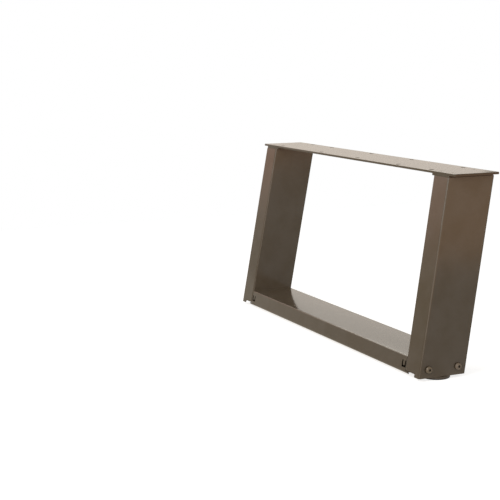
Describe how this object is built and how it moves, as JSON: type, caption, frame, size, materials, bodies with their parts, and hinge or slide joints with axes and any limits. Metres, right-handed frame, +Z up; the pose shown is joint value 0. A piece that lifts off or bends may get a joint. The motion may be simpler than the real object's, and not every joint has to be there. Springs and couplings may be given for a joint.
{
  "type": "u shaped table leg",
  "caption": "Leaning u shaped steel table leg: folded box legs under a drilled top plate, a low channel bar between them, and round levelling feet.",
  "frame": {"origin": "middle of the top plate's upper face, which the table top rests on", "axes": "+Z up through the table top, +X along the top plate, and the frame leans so that the plate lies towards +Y of the feet"},
  "size_m": [0.84, 0.1705, 0.4],
  "materials": {
    "powder_coat": "satin grey-brown powder coat on folded steel",
    "coated_screw": "grey-brown coated button-head screws",
    "zinc_steel": "bright zinc plated steel",
    "dark_plastic": "dark brown moulded plastic"
  },
  "bodies": {
    "frame": {"top_plate": "powder_coat", "bottom_bar": "powder_coat", "left_leg_tube": "powder_coat", "right_leg_tube": "powder_coat", "left_leg_flange": "powder_coat", "right_leg_flange": "powder_coat", "left_bar_bracket": "powder_coat", "right_bar_bracket": "powder_coat", "left_foot_plate": "powder_coat", "right_foot_plate": "powder_coat", "left_foot_nut": "zinc_steel", "right_foot_nut": "zinc_steel", "button_screws": "coated_screw", "screw_washers": "coated_screw", "spacer_sleeves": "zinc_steel", "weld_nuts": "zinc_steel"},
    "left_foot": {"left_foot_pad": "dark_plastic", "left_foot_stem": "zinc_steel"},
    "right_foot": {"right_foot_pad": "dark_plastic", "right_foot_stem": "zinc_steel"}
  },
  "joints": [
    {"name": "left_foot_slide", "type": "slide", "parent": "frame", "child": "left_foot", "axis": [0, 0, -1], "range_m": [0, 0.01]},
    {"name": "right_foot_slide", "type": "slide", "parent": "frame", "child": "right_foot", "axis": [0, 0, -1], "range_m": [0, 0.01]}
  ]
}
